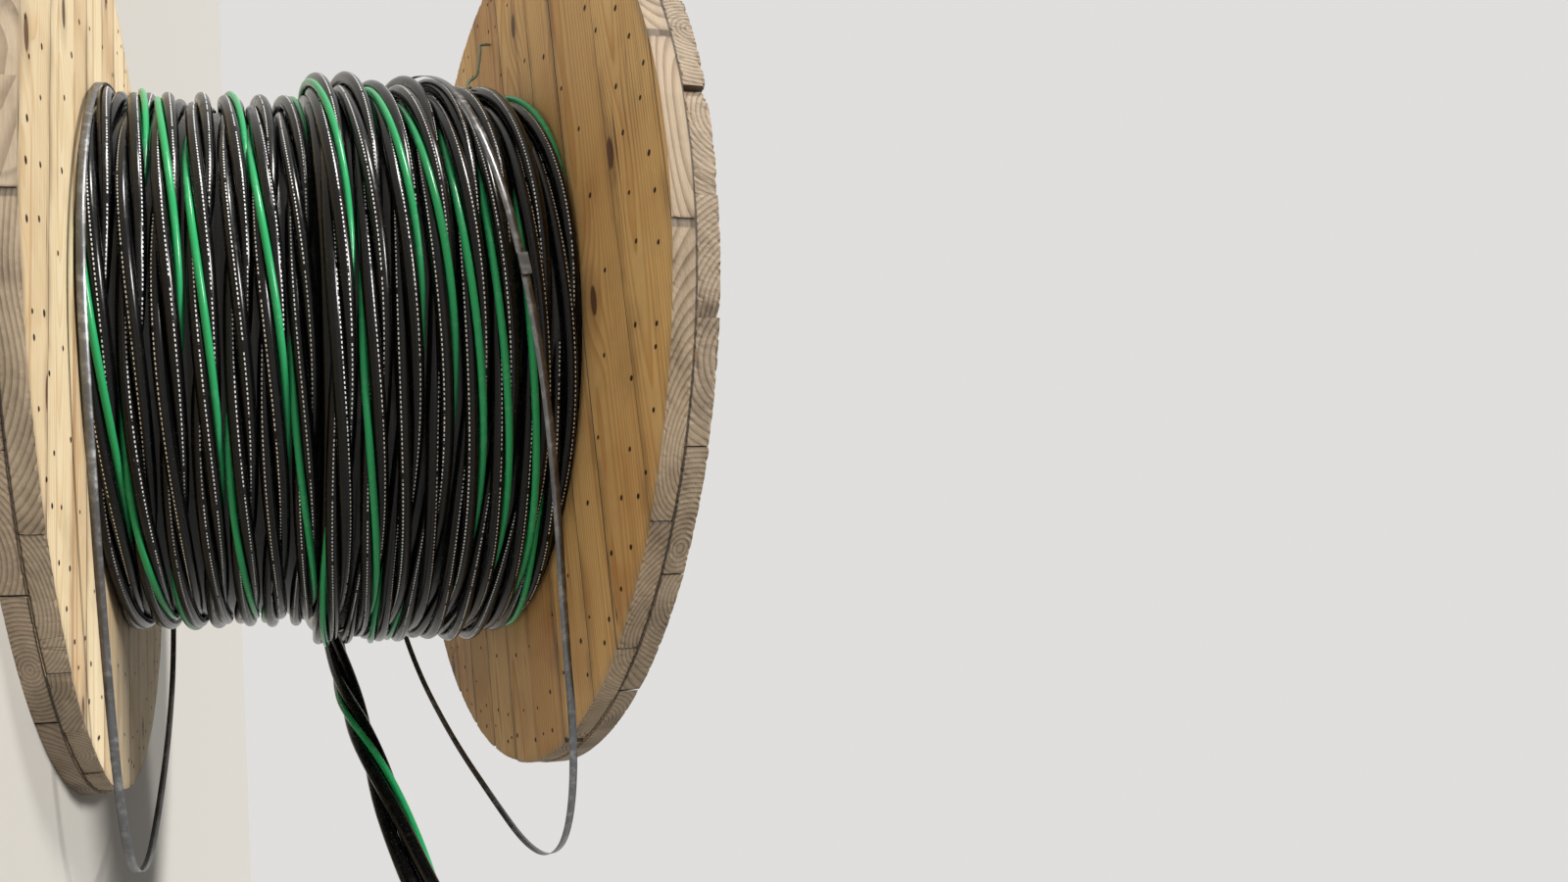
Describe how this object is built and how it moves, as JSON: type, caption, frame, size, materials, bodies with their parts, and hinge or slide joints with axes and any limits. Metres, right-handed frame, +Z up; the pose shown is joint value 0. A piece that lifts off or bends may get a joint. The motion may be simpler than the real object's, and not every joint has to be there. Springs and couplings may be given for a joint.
{
  "type": "wooden cable drum",
  "caption": "Wooden cable drum with two plied board flanges, a staved barrel, a wound bundle of insulated conductors, loose steel bands and a free cable tail.",
  "frame": {"origin": "on the floor, on the drum's axis, at the outer face of the left flange, which the drum stands on", "axes": "+Z up along the drum's axis, from the left flange to the right one; the free tail leaves towards -Y; the drum's top in the picture faces -X"},
  "size_m": [1.524, 1.9122, 0.844],
  "materials": {
    "flange_wood": "rough sawn",
    "stave_wood": "rough sawn",
    "black_insulation": "glossy",
    "green_insulation": "glossy",
    "band_steel": "satin",
    "twine_fibre": "twisted",
    "rod_steel": "zinc plated"
  },
  "bodies": {
    "root": {"left_flange_inner_boards": "flange_wood", "left_flange_outer_boards": "flange_wood", "right_flange_inner_boards": "flange_wood", "right_flange_outer_boards": "flange_wood", "barrel_staves": "stave_wood", "tie_rods": "rod_steel", "tie_rod_washers": "rod_steel", "tie_rod_nuts": "rod_steel", "cable_lower_layers": "black_insulation", "cable_top_layer": "black_insulation", "left_steel_band": "band_steel", "right_steel_band": "band_steel", "right_band_seal": "band_steel", "green_twine": "twine_fibre", "tail_black_upper": "black_insulation", "tail_black_lower": "black_insulation", "tail_black_right": "black_insulation", "tail_green": "green_insulation"}
  },
  "joints": []
}
